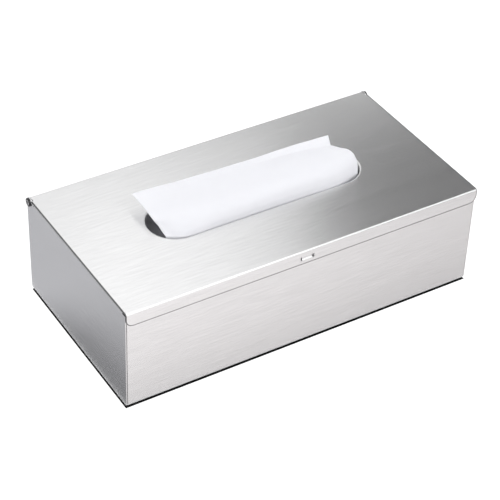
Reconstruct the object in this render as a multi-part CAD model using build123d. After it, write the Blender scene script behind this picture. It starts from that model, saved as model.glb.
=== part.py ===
"""Tissue box cover folded from brushed stainless sheet, with a lid that hinges on a rod at the back.

The box is one blank bent into front wall, bottom and rear wall (body_wrap). A flat plate (end panel)
closes each end: it covers the wrap's raw edges, is welded to them from inside, and has a lip bent in
under the lid. The lid is a plate with a slot that has a drawn-down rim, a front flange with a lanced
detent rib, and a rear edge rolled into a barrel. The hinge rod runs through the barrel and through an
ear on each end panel, and a push-on ring holds each of its ends. A stack of folded tissues lies
inside, and the top one is pulled up through the slot.

Frame: +X to the right along the long front, -Y to the front, +Z up. The origin is under the middle
of the box, on the surface that the feet stand on. Lengths are in millimetres.
"""
from build123d import *
import os
from math import pi, cos, sin, sqrt

# Sheet and overall size
sheet = 0.8               # thickness of the stainless sheet
lid_length = 250.0        # along X, flush with the end panels' faces
depth = 129.7             # along Y, from the lid flange's face to the rear wall's face
box_height = 72.2         # from the underside of the bottom to the top of the lid
foot_height = 1.5

# Clearances
lid_gap = 0.3             # between the closed lid and the box, below it and in front
ear_gap = 0.4             # between the lid's barrel and each ear, along the rod
rod_running_gap = 0.08    # radial, rod in the lid's barrel
rod_fixed_gap = 0.02      # radial, rod in the ears and rings
seam_gap = 0.25           # between an end panel's back and the wrap's raw edges

# Lid
lid_bend_radius = 1.6     # outside radius of the bend between lid plate and front flange
flange_height = 9.7
flange_corner_radius = 5.0
slot_length = 150.0       # clear opening, end to end
slot_width = 36.3
slot_front_margin = 46.0  # from the flange's face back to the slot's front edge
slot_rim_depth = 2.6      # how far the drawn rim reaches down from the lid's top
slot_rim_radius = 1.2     # rounding over the rim's top edge

# Detent: a lanced rib in the lid flange that drops into a notch in the front wall's top edge
rib_offset = -1.7         # the rib's middle, along X
rib_length = 7.2
rib_height = 2.8
rib_push = 0.9            # how far the rib's back stands in from the flange's back
rib_drop = 5.5            # from the lid's top to the rib's middle
rib_end_slit = 1.3        # the open slit at each end of the rib
catch_clearance = 0.6     # round the rib in the front wall's notch

# Box
wrap_bend_radius = 1.2    # outside radius of the bends along the bottom
panel_setback = 0.2       # the end panels' edges stay this far inside the wrap's faces
panel_bend_radius = 1.2   # outside radius of the bend between an end panel and its lip
panel_edge_rounding = 0.25
lip_width = 8.0           # width of the end panels' lip under the lid
lip_end_gap = 3.2         # the lip stops this far from the panel's front edge and from the ear

# Hinge
rod_radius = 1.8
ear_margin = 1.3          # sheet left round the rod's hole in each ear
roll_angle = 262.0        # how far the lid's rear edge is rolled round, in degrees
wall_gap = 0.4            # between the rear wall's top edge and the barrel above it
notch_gap = 0.5           # between an ear and the notch for it in the lid
ring_radius = 2.8
ring_length = 1.2
ring_rounding = 0.4       # of the ring's outer edge
rod_proud = 0.4           # how far the rod's ends stand out of the rings
rod_end_rounding = 0.6

# Feet
foot_radius = 6.0
foot_inset = 17.0         # from the box's ends and walls to a foot's middle

# Tissues
stack_end_gap = 16.2      # between the stack and each end panel, room for a finger
stack_side_gap = 9.5      # between the stack and the front and rear walls
stack_height = 46.0
stack_corner_radius = 2.0
tissue_thickness = 1.2    # of the pulled tissue's loose folds together
slot_side_gap = 0.3       # between the pulled tissue and the slot's rim
tail_gap = 0.3            # between the pulled tissue's lower end and the stack
tissue_left_gap = 5.0     # from the slot's left end to the pulled tissue
tissue_right_gap = 6.5    # the same at the right end
tissue_rise = 13.0        # how high its middle stands over the lid
tissue_end_rise = 8.0     # the same at its two ends
tissue_free_edge = 20.6   # from the slot's middle line back to its free edge
crown_place = 0.4         # where it turns over, as a share of the way back to its free edge
crown_rise = 0.85         # how much of its rise it has reached there
tissue_steps = 10         # straight strips that follow its curve along X

# Worked-out places
floor_z = foot_height                             # underside of the bottom
inside_floor = floor_z + sheet
lid_top = floor_z + box_height
lid_under = lid_top - sheet
lid_half = lid_length / 2
flange_face = -depth / 2
front_face = flange_face + sheet + lid_gap        # outside of the front wall
rear_face = depth / 2                             # outside of the rear wall
panel_front = front_face + panel_setback
panel_rear = rear_face - panel_setback
panel_foot = floor_z + panel_setback
panel_inner = lid_half - sheet                    # inside face of each end panel and its ear
wrap_half = panel_inner - seam_gap
barrel_radius = rod_radius + rod_running_gap + sheet
barrel_half = panel_inner - ear_gap
ear_radius = rod_radius + ear_margin
axis_y = panel_rear - ear_radius
axis_z = lid_top - barrel_radius
ear_front = axis_y - ear_radius
box_top = lid_under - lid_gap                     # top of the end panels' lips
panel_top = box_top - panel_bend_radius           # where the bend to the lip starts
front_wall_top = lid_top - lid_bend_radius        # where the flange's inside starts to bend
rear_wall_top = axis_z - barrel_radius - wall_gap
slot_y = flange_face + slot_front_margin + slot_width / 2
stack_top = inside_floor + stack_height


def box_between(low, high):
    """A block from its lowest corner to its highest corner."""
    size = [b - a for a, b in zip(low, high)]
    middle = [(a + b) / 2 for a, b in zip(low, high)]
    return Pos(*middle) * Box(*size)


def across(face, half):
    """A face drawn in the Y-Z plane, made solid from -half to +half along X."""
    return extrude(face, amount=half, dir=(1, 0, 0), both=True)


def yz(y, z):
    return Vector(0, y, z)


def on_axis(x, shape):
    """A turned shape, drawn round Z, laid along the hinge axis with its middle at x."""
    return Pos(x, axis_y, axis_z) * Rot(0, 90, 0) * shape


def slot_block(margin, low, high):
    """An upright block with the slot's outline, wider by a margin on every side."""
    outline = Pos(0, slot_y, low) * SlotOverall(slot_length + 2 * margin, slot_width + 2 * margin)
    return extrude(outline, amount=high - low)


def closed_section(outer, inner):
    """The face between two open chains of edges in the Y-Z plane, joined at their ends."""
    start = Line(outer @ 0, inner @ 0)
    end = Line(outer @ 1, inner @ 1)
    return make_face(outer.edges() + inner.edges() + start.edges() + end.edges())


def body_wrap():
    """Front wall, bottom and rear wall from one strip, with the rib's notch in the front wall."""
    outer = FilletPolyline(
        yz(front_face, front_wall_top), yz(front_face, floor_z),
        yz(rear_face, floor_z), yz(rear_face, rear_wall_top),
        radius=wrap_bend_radius)
    inner = FilletPolyline(
        yz(front_face + sheet, front_wall_top), yz(front_face + sheet, inside_floor),
        yz(rear_face - sheet, inside_floor), yz(rear_face - sheet, rear_wall_top),
        radius=wrap_bend_radius - sheet)
    wrap = across(closed_section(outer, inner), wrap_half)
    half_notch = rib_length / 2 + catch_clearance
    notch_foot = lid_top - rib_drop - rib_height / 2 - catch_clearance
    notch = box_between(
        (rib_offset - half_notch, front_face - sheet, notch_foot),
        (rib_offset + half_notch, front_face + 2 * sheet, lid_top))
    return wrap - notch


def panel_plate():
    """The right end's flat plate with its hinge ear, its outer edges rounded off."""
    above_axis = panel_top - axis_z
    ear_end = yz(axis_y - sqrt(ear_radius**2 - above_axis**2), panel_top)
    sides = FilletPolyline(
        yz(panel_front, panel_top), yz(panel_front, panel_foot),
        yz(panel_rear, panel_foot), yz(panel_rear, axis_z),
        radius=wrap_bend_radius - panel_setback)
    ear = ThreePointArc(yz(panel_rear, axis_z), yz(axis_y, axis_z + ear_radius), ear_end)
    top = Line(ear_end, yz(panel_front, panel_top))
    outline = make_face(sides.edges() + ear.edges() + top.edges())
    plate = Pos(panel_inner, 0, 0) * extrude(outline, amount=sheet, dir=(1, 0, 0))
    rim = plate.faces().sort_by(Axis.X)[-1].edges()
    rounded = [e for e in rim if abs(e.center().Z - panel_top) > panel_edge_rounding]
    return fillet(rounded, panel_edge_rounding)


def panel_lip():
    """The lip bent in from the plate's top edge, from the front to short of the ear."""
    low_y, high_y = panel_front + lip_end_gap, ear_front - lip_end_gap

    def bent(block, radius):
        """The block with its upper outer edge rounded."""
        edge = block.edges().filter_by(Axis.Y).sort_by(lambda e: e.center().X + e.center().Z)[-1]
        return fillet(edge, radius)

    outside = box_between((lid_half - lip_width, low_y, panel_top - sheet), (lid_half, high_y, box_top))
    inside = box_between(
        (lid_half - lip_width - sheet, low_y - sheet, panel_top - 2 * sheet),
        (panel_inner, high_y + sheet, box_top - sheet))
    return bent(outside, panel_bend_radius) - bent(inside, panel_bend_radius - sheet)


def end_panel(side):
    """One end of the box: plate, hinge ear with the rod's hole, and lip."""
    hole = on_axis(lid_half, Cylinder(rod_radius + rod_fixed_gap, 4 * sheet))
    panel = panel_plate() + panel_lip() - hole
    return panel if side > 0 else mirror(panel, about=Plane.YZ)


def lid_plate():
    """The flat plate with its front flange, before the slot, rib and notches are cut."""
    flange_foot = lid_top - flange_height
    outer = FilletPolyline(
        yz(flange_face, flange_foot), yz(flange_face, lid_top), yz(axis_y, lid_top), radius=lid_bend_radius)
    inner = FilletPolyline(
        yz(flange_face + sheet, flange_foot), yz(flange_face + sheet, lid_under), yz(axis_y, lid_under),
        radius=lid_bend_radius - sheet)
    plate = across(closed_section(outer, inner), lid_half)
    corners = [e for e in plate.edges().filter_by(Axis.Y) if e.center().Z < flange_foot + sheet / 10]
    return fillet(corners, flange_corner_radius)


def lid_barrel():
    """The rear edge rolled round the rod, tangent to the lid's top."""
    bore = rod_radius + rod_running_gap

    def arc(radius):
        at = [roll_angle * share * pi / 180 for share in (0, 0.5, 1)]
        return ThreePointArc(*[yz(axis_y + radius * sin(a), axis_z + radius * cos(a)) for a in at])

    return across(closed_section(arc(barrel_radius), arc(bore)), barrel_half)


def detent_rib():
    """The window lanced in the flange, and the bowed strip that is left in it."""
    middle = lid_top - rib_drop
    low, high = middle - rib_height / 2, middle + rib_height / 2
    half_window = rib_length / 2 + rib_end_slit
    window = box_between(
        (rib_offset - half_window, flange_face - sheet, low),
        (rib_offset + half_window, flange_face + 2 * sheet, high))
    front = ThreePointArc(yz(flange_face, low), yz(flange_face + rib_push, middle), yz(flange_face, high))
    back_y = flange_face + sheet
    back = ThreePointArc(yz(back_y, low), yz(back_y + rib_push, middle), yz(back_y, high))
    return window, Pos(rib_offset, 0, 0) * across(closed_section(front, back), rib_length / 2)


def lid():
    """The whole lid: plate, slot with its drawn rim, detent rib, rear notches and barrel."""
    rim_foot = lid_top - slot_rim_depth
    plate = lid_plate() + slot_block(sheet, rim_foot, lid_under) - slot_block(0, rim_foot - sheet, lid_top + sheet)
    mouth = [e for e in plate.faces().filter_by(Axis.Z).sort_by(Axis.Z)[-1].edges()
             if abs(e.center().X) <= slot_length / 2 and abs(e.center().Y - slot_y) <= slot_width / 2]
    plate = fillet(mouth, slot_rim_radius)
    window, rib = detent_rib()
    plate = plate - window + rib
    notch_front = ear_front - notch_gap
    for side in (-1, 1):
        near, far = sorted((side * barrel_half, side * (lid_half + sheet)))
        plate -= box_between((near, notch_front, lid_under - sheet), (far, rear_face + sheet, lid_top + sheet))
    return plate + lid_barrel()


def hinge_rod():
    rod = Cylinder(rod_radius, 2 * (lid_half + ring_length + rod_proud))
    return on_axis(0, fillet(rod.edges().filter_by(GeomType.CIRCLE), rod_end_rounding))


def rod_ring(side):
    """A push-on ring, seated on the ear's outer face, with the rod's end standing out of it."""
    ring = fillet(Cylinder(ring_radius, ring_length).edges().sort_by(Axis.Z)[-1], ring_rounding)
    ring -= Cylinder(rod_radius + rod_fixed_gap, 2 * ring_length)
    ring = on_axis(lid_half + ring_length / 2, ring)
    return ring if side > 0 else mirror(ring, about=Plane.YZ)


def foot(x, y):
    return Pos(x, y, foot_height / 2) * Cylinder(foot_radius, foot_height)


def tissue_stack():
    """The folded tissues as one block on the bottom."""
    length = 2 * (panel_inner - stack_end_gap)
    width = rear_face - front_face - 2 * (sheet + stack_side_gap)
    middle_y = (front_face + rear_face) / 2
    block = Pos(0, middle_y, inside_floor + stack_height / 2) * Box(length, width, stack_height)
    return fillet(block.edges().filter_by(Axis.Z), stack_corner_radius)


def slot_front_at(x):
    """Y of the slot's front edge at x: straight in the middle and round at the ends."""
    radius = slot_width / 2
    past = max(0.0, abs(x) - (slot_length / 2 - radius))
    return slot_y - sqrt(max(radius**2 - past**2, 0.0))


def tissue_section(x, share):
    """The pulled tissue's outline at x, where share runs from 0 at its left end to 1 at its right.

    It stands upright beside the slot's front rim, then curves back over the slot to its free edge.
    """
    tail_y = slot_front_at(x) + slot_side_gap
    free_y = slot_y + tissue_free_edge
    crown_y = tail_y + (free_y - tail_y) * crown_place
    rise = tissue_end_rise + (tissue_rise - tissue_end_rise) * sin(pi * share)

    def face_line(inset):
        """The line up the outer face, or up the inner face where inset is the thickness."""
        tail = Line(Vector(x, tail_y + inset, stack_top + tail_gap), Vector(x, tail_y + inset, lid_top))
        over = Spline(
            Vector(x, tail_y + inset, lid_top),
            Vector(x, crown_y + inset / 2, lid_top + rise * crown_rise - inset),
            Vector(x, free_y, lid_top + rise - inset), tangents=[(0, 0, 1), (0, 1, 0)])
        return tail, over

    tail, over = face_line(0)
    tail_in, over_in = face_line(tissue_thickness)
    ends = [Line(tail @ 0, tail_in @ 0), Line(over @ 1, over_in @ 1)]
    return make_face([tail, over, tail_in, over_in] + ends)


def pulled_tissue():
    """The tissue that stands out of the slot, as straight strips between sections along X."""
    left = tissue_left_gap - slot_length / 2
    right = slot_length / 2 - tissue_right_gap
    shares = [step / tissue_steps for step in range(tissue_steps + 1)]
    return loft([tissue_section(left + (right - left) * share, share) for share in shares], ruled=True)


node_shapes = {
    "body_wrap": body_wrap(),
    "left_end_panel": end_panel(-1),
    "right_end_panel": end_panel(1),
    "lid": lid(),
    "hinge_rod": hinge_rod(),
    "left_rod_ring": rod_ring(-1),
    "right_rod_ring": rod_ring(1),
    "tissue_stack": tissue_stack(),
    "pulled_tissue": pulled_tissue(),
}
for side, x in (("left", foot_inset - lid_half), ("right", lid_half - foot_inset)):
    for end, y in (("front", front_face + foot_inset), ("rear", rear_face - foot_inset)):
        node_shapes[f"{end}_{side}_foot"] = foot(x, y)

os.makedirs("parts", exist_ok=True)
for name, shape in node_shapes.items():
    export_step(shape, f"parts/{name}.step")
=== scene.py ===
"""Dresses the tissue box cover: brushed steel, a stack of folded tissues and the pulled one.

Lengths are in metres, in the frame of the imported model: +X right along the long front, -Y to the
front, +Z up from the surface that the feet stand on.
"""
import math

import bpy
import numpy as np
from mathutils import Matrix, Vector


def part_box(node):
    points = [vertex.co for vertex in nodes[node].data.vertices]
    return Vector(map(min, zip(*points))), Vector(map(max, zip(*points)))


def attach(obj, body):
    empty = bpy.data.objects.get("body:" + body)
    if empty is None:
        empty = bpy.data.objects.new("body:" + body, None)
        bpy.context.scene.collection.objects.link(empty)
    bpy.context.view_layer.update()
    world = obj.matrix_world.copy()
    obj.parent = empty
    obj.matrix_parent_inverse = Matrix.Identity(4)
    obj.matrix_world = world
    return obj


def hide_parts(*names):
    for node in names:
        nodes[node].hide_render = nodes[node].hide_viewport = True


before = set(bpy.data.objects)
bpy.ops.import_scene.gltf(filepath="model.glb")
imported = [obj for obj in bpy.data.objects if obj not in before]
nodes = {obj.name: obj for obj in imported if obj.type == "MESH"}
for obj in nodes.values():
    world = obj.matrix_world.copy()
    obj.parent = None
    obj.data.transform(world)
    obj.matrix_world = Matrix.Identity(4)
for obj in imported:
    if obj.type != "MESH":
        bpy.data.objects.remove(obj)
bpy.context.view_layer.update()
MM = 0.001

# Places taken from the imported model
lid_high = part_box("lid")[1]
wrap_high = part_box("body_wrap")[1]
stack_low, stack_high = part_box("tissue_stack")
lid_top = lid_high.z

# Height of the lower edge of the lid's flange
lid_foot = 0.0640

# Camera, fitted to the box's edges in the photograph
camera_place = Vector((-0.47300, -0.73197, 0.71935))
camera_turn = math.radians(-32.801)
camera_tilt = math.radians(38.432)
camera_roll = math.radians(2.390)
camera_focal_px = 1739.68
photo_width_px = 500
sensor_width_mm = 36.0


def new_object(name, data):
    """An object in the scene for a mesh, lamp or camera."""
    made = bpy.data.objects.new(name, data)
    bpy.context.scene.collection.objects.link(made)
    return made


def add_camera():
    """The camera looks along -back.

    back leans up by the tilt and is turned about Z, and the roll is about back.
    """
    back = Vector((
        math.cos(camera_tilt) * math.sin(camera_turn),
        -math.cos(camera_tilt) * math.cos(camera_turn),
        math.sin(camera_tilt)))
    level = Vector((math.cos(camera_turn), math.sin(camera_turn), 0))
    upright = back.cross(level)
    right = level * math.cos(camera_roll) + upright * math.sin(camera_roll)
    up = upright * math.cos(camera_roll) - level * math.sin(camera_roll)
    data = bpy.data.cameras.new("camera")
    data.sensor_width = sensor_width_mm
    data.sensor_fit = "HORIZONTAL"
    data.lens = camera_focal_px / photo_width_px * sensor_width_mm
    camera = new_object("camera", data)
    turn = Matrix((right, up, back)).transposed().to_4x4()
    camera.matrix_world = Matrix.Translation(camera_place) @ turn
    bpy.context.scene.camera = camera


# Node helpers
def new_material(name):
    """An empty material with an output and a Principled shader."""
    material = bpy.data.materials.new(name)
    material.use_nodes = True
    tree = material.node_tree
    tree.nodes.clear()
    output = tree.nodes.new("ShaderNodeOutputMaterial")
    shader = tree.nodes.new("ShaderNodeBsdfPrincipled")
    tree.links.new(shader.outputs["BSDF"], output.inputs["Surface"])
    return material, tree, shader


def add_node(tree, kind, settings=None, **inputs):
    """A node with its settings and its inputs, each a value or another node's socket.

    An input goes by its socket's name, with _ for a space, or by i and its number.
    """
    node = tree.nodes.new(kind)
    for key, value in (settings or {}).items():
        setattr(node, key, value)
    for key, value in inputs.items():
        numbered = key[0] == "i" and key[1:].isdigit()
        socket = node.inputs[int(key[1:]) if numbered else key.replace("_", " ")]
        if isinstance(value, bpy.types.NodeSocket):
            tree.links.new(value, socket)
        else:
            socket.default_value = value
    return node


def set_values(shader, **values):
    """Sets a shader's plain inputs, by name with _ for a space."""
    for key, value in values.items():
        shader.inputs[key.replace("_", " ")].default_value = value


def set_surface(tree, surface):
    """Gives the material's output another shader."""
    output = [n for n in tree.nodes if n.type == "OUTPUT_MATERIAL"][0]
    tree.links.new(surface, output.inputs["Surface"])


def math_node(tree, operation, first, second=0.0):
    """One step of arithmetic on two values."""
    node = add_node(tree, "ShaderNodeMath", {"operation": operation}, i0=first, i1=second)
    return node.outputs[0]


def vector_node(tree, operation, **inputs):
    """One step of arithmetic on vectors."""
    return add_node(tree, "ShaderNodeVectorMath", {"operation": operation}, **inputs)


def own_place(tree):
    """The place on the piece, in its Object coordinates."""
    return add_node(tree, "ShaderNodeTexCoord").outputs["Object"]


def part_of(tree, vector, axis):
    """A vector's X, Y or Z, for an axis of 0, 1 or 2."""
    return add_node(tree, "ShaderNodeSeparateXYZ", None, Vector=vector).outputs[axis]


def noise(tree, place, scale, **inputs):
    """A noise of about 0 to 1."""
    node = add_node(tree, "ShaderNodeTexNoise", None, Vector=place, Scale=scale, **inputs)
    return node.outputs[0]


def color_between(tree, low, high, factor):
    """From the low color at 0 to the high one at 1."""
    node = add_node(
        tree, "ShaderNodeMix", {"data_type": "RGBA"}, i0=factor, i6=low, i7=high)
    return node.outputs[2]


def spread(tree, value, low, high):
    """Maps 0 to 1 on to low to high."""
    node = add_node(tree, "ShaderNodeMapRange", None, Value=value, To_Min=low, To_Max=high)
    return node.outputs[0]


def add_bump(tree, shader, height, strength, distance):
    """Bumps the shader's normal by a height."""
    bump = add_node(
        tree, "ShaderNodeBump", None, Strength=strength, Distance=distance, Height=height)
    tree.links.new(bump.outputs[0], shader.inputs["Normal"])


def emission(tree, color, strength):
    """A shader that gives light."""
    return add_node(
        tree, "ShaderNodeEmission", None, Color=color, Strength=strength).outputs[0]


def mix_shaders(tree, factor, first, second):
    """The first shader at 0 and the second at 1."""
    return add_node(
        tree, "ShaderNodeMixShader", None, Fac=factor, i1=first, i2=second).outputs[0]


def mix_by_ray(tree, plain, seen, seen_by):
    """Mixes two shaders: seen where the ray is one of the kinds named, and plain elsewhere."""
    path = add_node(tree, "ShaderNodeLightPath")
    kinds = [path.outputs[k] for k in seen_by]
    factor = kinds[0]
    for kind in kinds[1:]:
        factor = math_node(tree, "MAXIMUM", factor, kind)
    return mix_shaders(tree, factor, plain, seen)


# Steel
grain_across = 0.0009
grain_along = 0.022
grain_contrast = 0.80
broad_grain_scale = 0.13
broad_grain_weight = 0.2
grain_bump_strength = 0.012
grain_bump_height = 0.00004
roughness_spread = 0.02
gloss_turn = 0.25
sheet_tone, sheet_roughness = (0.94, 0.94, 0.945, 1), 0.26
rod_tone, rod_roughness = (0.95, 0.95, 0.96, 1), 0.18
ring_tone, ring_roughness = (0.10, 0.10, 0.105, 1), 0.35

# Painted shade on the sheared edges: dark lines in place of the shadow gaps beside them and the
# dark they reflect
painted_edge_shade_tone = (0.16, 0.16, 0.16, 1)
end_face_x = 0.1245
end_face_turn = 0.8
flange_corner = 0.005
edge_line = 0.0005


def make_streaks_group():
    """Brushed grain: noise drawn out along one axis, in a fine and a broad layer.

    Input is a vector that is already stretched, so that a unit is one grain across. Outputs are the
    fine streaks, the broad ones, and a height for the bump.
    """
    group = bpy.data.node_groups.new("brushed_streaks", "ShaderNodeTree")
    group.interface.new_socket("Vector", in_out="INPUT", socket_type="NodeSocketVector")
    for name in ("Fine", "Broad", "Height"):
        group.interface.new_socket(name, in_out="OUTPUT", socket_type="NodeSocketFloat")
    start = group.nodes.new("NodeGroupInput").outputs[0]
    end = group.nodes.new("NodeGroupOutput")
    fine = noise(group, start, 1.0, Detail=3.0, Roughness=0.6)
    wider = vector_node(group, "SCALE", i0=start, Scale=broad_grain_scale).outputs[0]
    broad = noise(group, wider, 1.0, Detail=2.0)
    height = math_node(
        group, "ADD", fine, math_node(group, "MULTIPLY", broad, broad_grain_weight))
    for name, value in (("Fine", fine), ("Broad", broad), ("Height", height)):
        group.links.new(value, end.inputs[name])
    return group


streaks = make_streaks_group()


def paint_edge_shade(tree, color, place, on_lid):
    """The color, with painted shade on the sheared edges: a dark tone in place of the shadow
    gaps along them and the dark they reflect.

    At the box's ends these are the faces that look along X and lie past end_face_x. On the lid they
    are also a band of edge_line round its ends and flange: past_x and past_z say how far the place
    is past the centre of the flange's round corner, and the band is where their length nears the
    corner's radius.
    """
    normal = tree.nodes.new("ShaderNodeNewGeometry").outputs["True Normal"]
    facing = math_node(tree, "ABSOLUTE", part_of(tree, normal, 0))
    away = math_node(tree, "ABSOLUTE", part_of(tree, place, 0))
    dark = math_node(
        tree, "MULTIPLY", math_node(tree, "GREATER_THAN", facing, end_face_turn),
        math_node(tree, "GREATER_THAN", away, end_face_x))
    if on_lid:
        height = part_of(tree, place, 2)
        past_x = math_node(tree, "SUBTRACT", away, lid_high.x - flange_corner)
        past_z = math_node(tree, "SUBTRACT", lid_foot + flange_corner, height)
        corner = add_node(
            tree, "ShaderNodeCombineXYZ", None,
            X=math_node(tree, "MAXIMUM", past_x, 0.0), Y=math_node(tree, "MAXIMUM", past_z, 0.0))
        reach = vector_node(tree, "LENGTH", i0=corner.outputs[0]).outputs["Value"]
        band = math_node(tree, "GREATER_THAN", reach, flange_corner - edge_line)
        dark = math_node(tree, "MAXIMUM", dark, band)
    return color_between(tree, color, painted_edge_shade_tone, dark)


def brushed_steel(name, along, tone=sheet_tone, roughness=sheet_roughness):
    """Brushed stainless steel with its grain along X or Y, and gloss drawn out across the grain."""
    material, tree, shader = new_material(name)
    place = own_place(tree)
    scale = [1 / grain_across] * 3
    scale["XY".index(along)] = 1 / grain_along
    stretched = add_node(tree, "ShaderNodeMapping", None, Vector=place, Scale=scale)
    grain = tree.nodes.new("ShaderNodeGroup")
    grain.node_tree = streaks
    tree.links.new(stretched.outputs[0], grain.inputs[0])
    dark = tuple(c * grain_contrast for c in tone[:3]) + (1,)
    color = color_between(tree, dark, tone, grain.outputs["Fine"])
    if along == "X":
        # Painted shade: the sheared edges of the long sheet and the lid are drawn dark
        color = paint_edge_shade(tree, color, place, name == "brushed_lid")
    tree.links.new(color, shader.inputs["Base Color"])
    uneven = spread(
        tree, grain.outputs["Broad"], roughness - roughness_spread, roughness + roughness_spread)
    tree.links.new(uneven, shader.inputs["Roughness"])
    add_bump(tree, shader, grain.outputs["Height"], grain_bump_strength, grain_bump_height)
    set_values(shader, Metallic=1.0, Anisotropic=1.0, Anisotropic_Rotation=gloss_turn)
    axis = add_node(
        tree, "ShaderNodeCombineXYZ", None, X=float(along == "X"), Y=float(along == "Y"))
    tree.links.new(axis.outputs[0], shader.inputs["Tangent"])
    return material


# Paper. Over the lid the tissue glows for glossy rays: painted light that makes the steel reflect
# it brighter than it is lit.
paper_dim = (0.89, 0.89, 0.915, 1)
paper_bright = (0.95, 0.95, 0.97, 1)
paper_light_let_through = 0.33
paper_painted_glow = 0.9
paper_painted_glow_share = 0.75
fibre_scale, cloud_scale = 1400.0, 120.0
fibre_bump_strength, fibre_bump_height = 0.25, 0.0001


def paper():
    """Soft white tissue: a faint fibre mottle in colour and bump."""
    material, tree, shader = new_material("tissue_paper")
    place = own_place(tree)
    fibres = noise(tree, place, fibre_scale, Detail=4.0, Roughness=0.65)
    clouds = noise(tree, place, cloud_scale, Detail=2.0)
    both = math_node(
        tree, "ADD", math_node(tree, "MULTIPLY", fibres, 0.5),
        math_node(tree, "MULTIPLY", clouds, 0.5))
    color = color_between(tree, paper_dim, paper_bright, both)
    tree.links.new(color, shader.inputs["Base Color"])
    add_bump(tree, shader, fibres, fibre_bump_strength, fibre_bump_height)
    set_values(shader, Roughness=0.95, Sheen_Weight=0.15)
    let_through = add_node(tree, "ShaderNodeBsdfTranslucent", None, Color=paper_bright)
    lit = mix_shaders(
        tree, paper_light_let_through, shader.outputs[0], let_through.outputs[0])
    # Painted light: over the lid the tissue glows for glossy rays, brightening its reflection in
    # the steel
    over_lid = math_node(tree, "GREATER_THAN", part_of(tree, place, 2), lid_top)
    share = math_node(tree, "MULTIPLY", over_lid, paper_painted_glow_share)
    painted_glow_in_steel = mix_shaders(tree, share, lit, emission(tree, paper_bright, paper_painted_glow))
    set_surface(tree, mix_by_ray(tree, lit, painted_glow_in_steel, ("Is Glossy Ray",)))
    return material


# Rubber
rubber_dark, rubber_pale = (0.02, 0.02, 0.02, 1), (0.06, 0.06, 0.06, 1)
rubber_roughness = (0.6, 0.85)
grit_scale = 900.0
grit_bump_strength, grit_bump_height = 0.3, 0.0001


def rubber():
    """Dull black rubber with a fine mottle."""
    material, tree, shader = new_material("foot_rubber")
    grit = noise(tree, own_place(tree), grit_scale, Detail=3.0)
    color = color_between(tree, rubber_dark, rubber_pale, grit)
    tree.links.new(color, shader.inputs["Base Color"])
    tree.links.new(spread(tree, grit, *rubber_roughness), shader.inputs["Roughness"])
    add_bump(tree, shader, grit, grit_bump_strength, grit_bump_height)
    return material


def dress_nodes():
    """Gives each carried-over node its finish."""
    sheet_x = brushed_steel("brushed_sheet_long", "X")
    sheet_y = brushed_steel("brushed_sheet_end", "Y")
    lid_x = brushed_steel("brushed_lid", "X")
    rod = brushed_steel("drawn_rod", "X", rod_tone, rod_roughness)
    ring = brushed_steel("dark_ring", "Y", ring_tone, ring_roughness)
    finishes = {
        "body_wrap": sheet_x, "lid": lid_x, "left_end_panel": sheet_y, "right_end_panel": sheet_y,
        "hinge_rod": rod, "left_rod_ring": ring, "right_rod_ring": ring,
    }
    feet_finish = rubber()
    for name, node in nodes.items():
        finish = finishes.get(name, feet_finish)
        if not node.material_slots:
            node.data.materials.append(finish)
        for slot in node.material_slots:
            slot.material = finish


# Pieces worked out on grids
def grid_piece(name, points, material, closed_across=False):
    """A mesh of quads from an array of points, rows by columns by 3.

    Columns may close on themselves.
    """
    rows, columns = points.shape[:2]
    index = np.arange(rows * columns).reshape(rows, columns)
    right = np.roll(index, -1, axis=1) if closed_across else index[:, 1:]
    left = index if closed_across else index[:, :-1]
    quads = np.stack([left[:-1], right[:-1], right[1:], left[1:]], axis=-1).reshape(-1, 4)
    mesh = bpy.data.meshes.new(name)
    mesh.from_pydata(points.reshape(-1, 3).tolist(), [], quads.tolist())
    mesh.polygons.foreach_set("use_smooth", np.ones(len(quads), bool))
    mesh.materials.append(material)
    mesh.update()
    return new_object(name, mesh)


def smooth(low, high, value):
    """0 below low, 1 above high, and an even S between them."""
    t = np.clip((value - low) / (high - low), 0, 1)
    return t * t * (3 - 2 * t)


def through(stations, shares):
    """A Catmull-Rom curve through stations, at each share of the way along, 0 to 1.

    The stations run along the first axis. Past each end stands one more, as far on as the last
    two are apart.
    """
    last = len(stations) - 1
    padded = np.concatenate([
        2 * stations[:1] - stations[1:2], stations, 2 * stations[-1:] - stations[-2:-1]])
    place = np.clip(shares, 0, 1) * last
    start = np.minimum(place.astype(int), last - 1)
    t = (place - start).reshape((-1,) + (1,) * (stations.ndim - 1))
    p0, p1, p2, p3 = (padded[start + i] for i in range(4))
    return 0.5 * (
        2 * p1 + (p2 - p0) * t + (2 * p0 - 5 * p1 + 4 * p2 - p3) * t**2
        + (3 * p1 - p0 - 3 * p2 + p3) * t**3)


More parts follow.
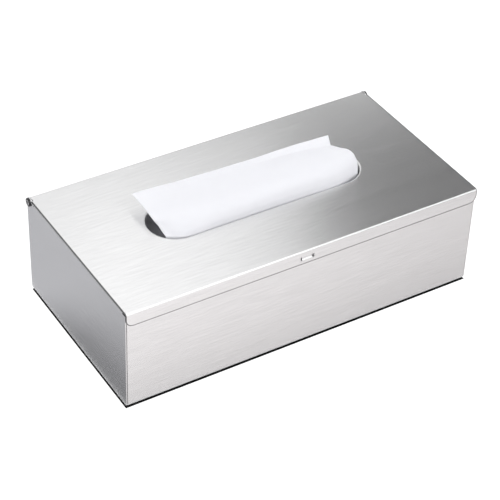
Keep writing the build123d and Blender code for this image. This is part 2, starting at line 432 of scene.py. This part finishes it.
# Lines up the pulled tissue, from its left edge to its right one: x, y and height over the lid in
# mm, from the slot's rim to the crease, and then to the free edge
tissue_lines = np.array([
    [(-69.8, -12.4, 0), (-70.4, -8.6, 1.5), (-70.9, -4.6, 3.5), (-72.4, -1.2, 6), (-73.0, 4.1, 8),
     (-73.2, 10, 9.1), (-73.4, 14.5, 9.5), (-73.5, 19, 9.8), (-73.4, 23.6, 10)],
    [(-58, -18.0, 0), (-58.2, -15.6, 3.4), (-58.6, -11.4, 6.4), (-59, -6, 8.4), (-59.6, 1, 9.5),
     (-60, 8, 10), (-60.2, 14, 10.1), (-60.2, 18.6, 10.2), (-60, 22.7, 10.3)],
    [(-34, -18.3, 0), (-34.1, -17.2, 4), (-34.3, -14.2, 7.6), (-34.5, -9.4, 9.8),
     (-34.7, -2.6, 10.7), (-34.8, 5.6, 11), (-35, 13, 10.9), (-35.2, 17, 10.8),
     (-35.4, 20.3, 10.8)],
    [(0, -18.3, 0), (0, -17.6, 4.4), (0, -15.2, 8.2), (0, -10.8, 10.5), (0.2, -4, 11.4),
     (0.3, 4.5, 11.6), (0.4, 12.2, 11.2), (0.5, 15.4, 11.2), (0.6, 18.3, 11.3)],
    [(27, -18.3, 0), (27, -17.5, 4.4), (27, -15.1, 8.3), (27, -10.8, 10.6), (27, -4, 11.6),
     (26.8, 4.6, 11.6), (26.8, 12.8, 10.5), (27.6, 15.4, 11.2), (28.4, 17.9, 11.7)],
    [(51, -18.3, 0), (51.2, -17.2, 4.2), (51.1, -14.8, 7.8), (50.6, -11.0, 10.2),
     (49.6, -5.2, 11.3), (48, 2.6, 11.3), (45.8, 11.4, 9.9), (47, 14.2, 11.3),
     (48.4, 16.9, 12.1)],
    [(68.6, -13.8, 0), (69.6, -12.0, 4), (69.8, -9.7, 7.5), (69.4, -6.0, 10.2),
     (67.8, -2.0, 11.3), (65.0, 1.9, 11.0), (61.6, 7.9, 10.5), (63.1, 11.7, 11.5),
     (64.6, 15.7, 12.5)],
]) * MM
crease_at = 6
tissue_thickness = 0.00012
tissue_margin = 0.0004
rows_to_crease, rows_past_crease, tail_rows = 76, 26, 14
tissue_columns = 181
fold_height = 0.00009
fold_fade = (0.08, 0.5)


def pulled_tissue():
    """The tissue that stands out of the slot.

    Up, each line is a Catmull-Rom curve through its points, broken at the crease, over a straight
    tail from the pile to the rim. Across, the same curve runs through the seven lines. Faint folds
    that fade in above the rim are a sum of two sines.
    """
    lines = tissue_lines.transpose(1, 0, 2)
    over = np.concatenate([
        through(lines[:crease_at + 1], np.linspace(0, 1, rows_to_crease)),
        through(lines[crease_at:], np.linspace(0, 1, rows_past_crease))[1:]])
    across = np.linspace(0, 1, tissue_columns)
    over = through(over.transpose(1, 0, 2), across).transpose(1, 0, 2)
    up = np.linspace(0, 1, len(over))[:, None]
    fold = np.sin(across * 19 + 5 * up + 1.0) + 0.6 * np.sin(across * 43 - 7 * up)
    over[..., 2] += lid_top + fold_height * fold * smooth(*fold_fade, up)
    tail = np.repeat(over[:1], tail_rows, axis=0)
    bottom = stack_high.z + tissue_margin
    drop = np.linspace(1, 0, tail_rows + 1)[:-1, None]
    tail[..., 2] = over[0, :, 2] + (bottom - over[0, :, 2]) * drop
    points = np.concatenate([tail, over])
    piece = grid_piece("pulled_tissue_sheet", points, paper_finish)
    wall = piece.modifiers.new("two_plies", "SOLIDIFY")
    wall.thickness = tissue_thickness
    wall.offset = -1
    # The flat size is this grid's own, so the test of its area compares the mesh with itself
    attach(piece, "hinged_lid")
    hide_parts("pulled_tissue")
    return piece


stack_layers = 60
rows_per_layer = 4
stack_columns = 240
stack_corner_power = 0.12
groove_depth = 0.0007
cap_rings = 12
cap_middle_share = 0.001


def tissue_pile():
    """The folded tissues: a rounded block whose sides are drawn in between one and the next.

    Round, x and y are half the size times a cosine and a sine, each raised to a small power with
    its sign kept, which gives a rectangle with round corners. Up, the rows run in over the bottom,
    up the side, where a cosine draws them in once a tissue, and in over the top.
    """
    around = np.linspace(0, 2 * math.pi, stack_columns, endpoint=False)[None, :]
    side = np.linspace(0, 1, stack_layers * rows_per_layer + 1)[:, None]
    half = (stack_high - stack_low) / 2
    middle = (stack_high + stack_low) / 2
    outline_x = np.sign(np.cos(around)) * np.abs(np.cos(around))**stack_corner_power
    outline_y = np.sign(np.sin(around)) * np.abs(np.sin(around))**stack_corner_power
    groove = groove_depth * (0.5 + 0.5 * np.cos(2 * math.pi * stack_layers * side))
    shrink = np.linspace(1, cap_middle_share, cap_rings)[1:, None]

    def rows(x, y, z):
        return np.stack(np.broadcast_arrays(middle.x + x, middle.y + y, z), axis=-1)

    def cap(height):
        return rows(outline_x * half.x * shrink, outline_y * half.y * shrink, height + 0 * shrink)

    walls = rows(
        outline_x * (half.x - groove), outline_y * (half.y - groove),
        stack_low.z + side * (stack_high.z - stack_low.z))
    points = np.concatenate([cap(stack_low.z)[::-1], walls, cap(stack_high.z)])
    piece = grid_piece("folded_tissues", points, paper_finish, closed_across=True)
    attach(piece, "box")
    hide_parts("tissue_stack")
    return piece


# Studio
world_soft_color, world_soft_strength = (0.97, 0.98, 1, 1), 0.73
world_seen_color, world_seen_strength = (1, 1, 1, 1), 1.04
floor_half = 8.0
floor_tone = (0.80, 0.80, 0.80, 1)
floor_glow = 1.25
floor_glow_share = 0.86
# Painted shadow under the box, and how far it reaches
painted_gap_shadow_tone = (0.02, 0.02, 0.02, 1)
gap_past_lid = 0.0003
gap_short_of_wrap = 0.0012
floor_card_height = 0.0004
side_card_corners = 96


def light_world():
    """A soft even light for matt surfaces, and plain white for what the camera and metal see."""
    world = bpy.data.worlds.new("studio")
    bpy.context.scene.world = world
    world.use_nodes = True
    tree = world.node_tree
    tree.nodes.clear()
    soft, seen = (
        add_node(tree, "ShaderNodeBackground", None, Color=color, Strength=strength).outputs[0]
        for color, strength in (
            (world_soft_color, world_soft_strength), (world_seen_color, world_seen_strength)))
    rays = ("Is Camera Ray", "Is Glossy Ray", "Is Transmission Ray")
    output = add_node(tree, "ShaderNodeOutputWorld")
    tree.links.new(mix_by_ray(tree, soft, seen, rays), output.inputs[0])


def add_floor():
    """A wide pale floor, lifted nearly to white for the camera alone.

    For the camera it is painted dark under the box: a painted shadow that draws the gap between
    the box and the floor.
    """
    mesh = bpy.data.meshes.new("floor")
    low, high = -floor_half, floor_half
    mesh.from_pydata(
        [(low, low, 0), (high, low, 0), (high, high, 0), (low, high, 0)], [], [(0, 1, 2, 3)])
    material, tree, shader = new_material("floor")
    set_values(shader, Base_Color=floor_tone, Roughness=1.0, Specular_IOR_Level=0.0)
    glow = emission(tree, (1, 1, 1, 1), floor_glow)
    lifted = mix_shaders(tree, floor_glow_share, shader.outputs[0], glow)
    place = own_place(tree)
    gap_edge = (lid_high.x + gap_past_lid, wrap_high.y - gap_short_of_wrap)
    outside = [
        math_node(
            tree, "GREATER_THAN", math_node(tree, "ABSOLUTE", part_of(tree, place, i)), gap_edge[i])
        for i in range(2)]
    # Painted shadow: a near-black floor under the box for the camera, in place of the shade in the
    # gap
    painted_shadow_under_box = add_node(tree, "ShaderNodeBsdfDiffuse", None, Color=painted_gap_shadow_tone).outputs[0]
    lifted = mix_shaders(tree, math_node(tree, "MAXIMUM", *outside), painted_shadow_under_box, lifted)
    set_surface(tree, mix_by_ray(tree, shader.outputs[0], lifted, ("Is Camera Ray",)))
    mesh.materials.append(material)
    new_object("floor", mesh)


def add_card(name, corners, center, reach, tones, stretch=(1, 1, 1), tint=(1, 1, 1)):
    """A card that only reflections see: it glows with painted light and shade for the metal to
    reflect.

    Its tone changes with the distance from a center, in shares of a reach. tones is a list of
    (share, brightness), and stretch weighs the distance along each axis.
    """
    mesh = bpy.data.meshes.new(name)
    mesh.from_pydata(corners, [], [tuple(range(len(corners)))])
    material = bpy.data.materials.new(name)
    material.use_nodes = True
    tree = material.node_tree
    tree.nodes.clear()
    away = vector_node(tree, "SUBTRACT", i0=own_place(tree), i1=center).outputs[0]
    weighed = vector_node(tree, "MULTIPLY", i0=away, i1=stretch).outputs[0]
    length = vector_node(tree, "LENGTH", i0=weighed).outputs["Value"]
    share = math_node(tree, "DIVIDE", length, reach)
    ramp = add_node(tree, "ShaderNodeValToRGB", None, Fac=share)
    elements = ramp.color_ramp.elements
    while len(elements) > 1:
        elements.remove(elements[-1])
    brightest = max(tone for _, tone in tones)
    for i, (at, tone) in enumerate(tones):
        element = elements[0] if i == 0 else elements.new(at)
        element.position = at
        element.color = tuple(tone / brightest * t for t in tint) + (1,)
    output = tree.nodes.new("ShaderNodeOutputMaterial")
    tree.links.new(emission(tree, ramp.outputs[0], brightest), output.inputs[0])
    mesh.materials.append(material)
    card = new_object(name, mesh)
    card.visible_camera = False
    card.visible_diffuse = False
    card.visible_shadow = False
    card.visible_transmission = False


def add_side_card(name, x, reach, tones):
    """A big round card beside the object, centred on the X axis."""
    turn = np.linspace(0, 2 * math.pi, side_card_corners, endpoint=False)
    ring = np.stack(
        [np.full(len(turn), x), reach * np.cos(turn), reach * np.sin(turn)], axis=-1)
    add_card(name, ring.tolist(), (x, 0, 0), reach, tones)


def add_upright_card(name, y, low, high, **how):
    """A card that faces along Y, from low to high in X and Z."""
    corners = [
        (low[0], y, low[1]), (high[0], y, low[1]), (high[0], y, high[1]), (low[0], y, high[1])]
    add_card(name, corners, **how)


def add_floor_card(name, low, high, center, **how):
    """A card just over the floor, from low to high in X and Y."""
    z = floor_card_height
    corners = [
        (low[0], low[1], z), (high[0], low[1], z), (high[0], high[1], z), (low[0], high[1], z)]
    add_card(name, corners, (*center, z), **how)


def add_softbox(name, place, target, size, watts):
    """A square lamp that looks at a target, and that metal doesn't see."""
    data = bpy.data.lights.new(name, "AREA")
    data.shape = "SQUARE"
    data.size = size
    data.energy = watts
    lamp = new_object(name, data)
    lamp.location = place
    lamp.visible_glossy = False
    lamp.rotation_euler = (Vector(place) - Vector(target)).to_track_quat("Z", "Y").to_euler()


add_camera()
light_world()
add_floor()
# Painted reflections: cards that only reflections see paint the dark and bright surroundings and
# the shaded and lit floor
add_side_card("right_shade_card", x=3.0, reach=9.0, tones=[
    (0.0, 0.09), (0.50, 0.11), (0.56, 0.13), (0.60, 0.14), (0.62, 0.20), (0.64, 0.50),
    (0.66, 0.80), (0.70, 0.96), (0.76, 1.08), (0.90, 1.20), (1.0, 1.20)])
add_side_card("left_shade_card", x=-3.0, reach=5.6, tones=[(0.0, 0.12), (0.8, 0.2), (1.0, 0.9)])
add_upright_card(
    "back_painted_reflection_card", y=0.13, low=(-0.12, 0.0), high=(0.60, 0.165),
    center=(-0.12, 0.13, 0.1), reach=0.50, stretch=(1, 1, 0.01),
    tones=[(0.0, 0.90), (0.18, 0.84), (0.32, 0.65), (0.47, 0.56), (0.58, 0.65), (1.0, 0.68)])
# Painted highlight: a bright card for the bends to reflect
add_upright_card(
    "front_painted_highlight_card", y=-1.2, low=(-0.8, 0.45), high=(2.0, 2.6),
    center=(0, -1.2, 1.5), reach=3.0, tones=[(0.0, 1.7), (1.0, 1.7)])
# Painted shadow: the floor beside the left end as the steel reflects it, darkest near the box
add_floor_card(
    "left_floor_painted_shadow_card", low=(-0.60, -0.30), high=(-0.127, 0.60),
    center=(-0.127, -0.06), reach=0.35, stretch=(2.4, 1, 1), tint=(0.98, 0.98, 1.02),
    tones=[(0.0, 0.23), (0.2, 0.27), (0.34, 0.62), (0.6, 0.60), (1.0, 0.62)])
# Painted light: the floor in front as the steel reflects it, brightest near the box
add_floor_card(
    "front_floor_painted_light_card", low=(-0.35, -0.50), high=(0.50, -0.066),
    center=(-0.15, -0.20), reach=0.60, stretch=(0.45, 2, 1), tint=(1.0, 0.965, 0.965),
    tones=[(0.0, 1.30), (0.15, 1.12), (0.24, 0.97), (0.32, 0.87), (0.42, 0.75), (0.46, 0.70),
           (0.6, 0.62), (1.0, 0.5)])
add_softbox("top_softbox", place=(-0.25, 0.15, 1.5), target=(0, 0, 0.05), size=1.2, watts=11.0)
add_softbox("front_softbox", place=(-0.1, -1.3, 0.45), target=(0, 0, 0.08), size=1.0, watts=5.5)

paper_finish = paper()
dress_nodes()
pulled_tissue()
tissue_pile()

bpy.context.scene.view_settings.view_transform = "Standard"
